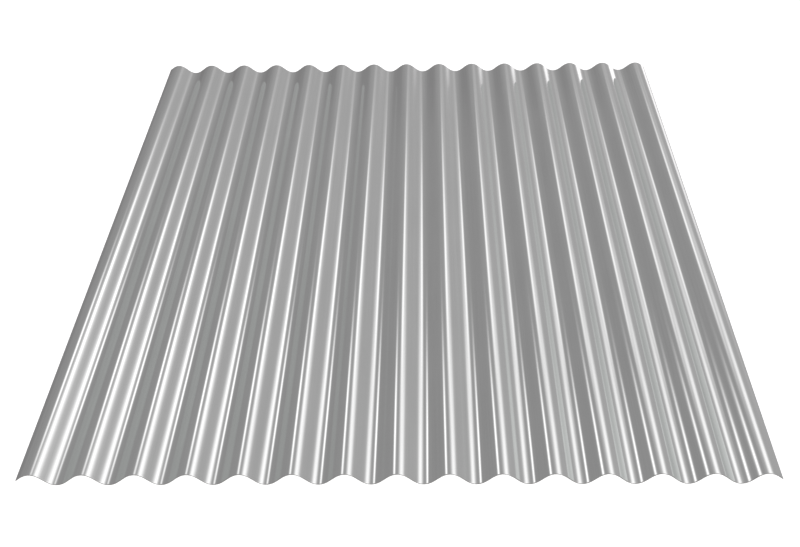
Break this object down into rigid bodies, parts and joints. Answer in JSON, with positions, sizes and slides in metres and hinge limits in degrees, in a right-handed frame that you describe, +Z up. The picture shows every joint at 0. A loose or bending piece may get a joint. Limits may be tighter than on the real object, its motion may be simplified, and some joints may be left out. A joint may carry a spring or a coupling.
{
  "type": "corrugated metal sheet",
  "caption": "Flat-lying sheet of zinc-coated steel rolled into even sine corrugations along its length, for roofing, cladding and fencing.",
  "frame": {"origin": "middle of the sheet, level with the undersides of the troughs, which is the plane the sheet rests on", "axes": "+Y along the corrugations, X across them, +Z up out of the floor"},
  "size_m": [1.1058, 1.5, 0.0192],
  "materials": {
    "zinc_coated_steel": "bare zinc-coated steel sheet, mill finish, softly glossy with fine lengthwise rolling streaks"
  },
  "bodies": {
    "root": {"corrugated_sheet": "zinc_coated_steel"}
  },
  "joints": []
}
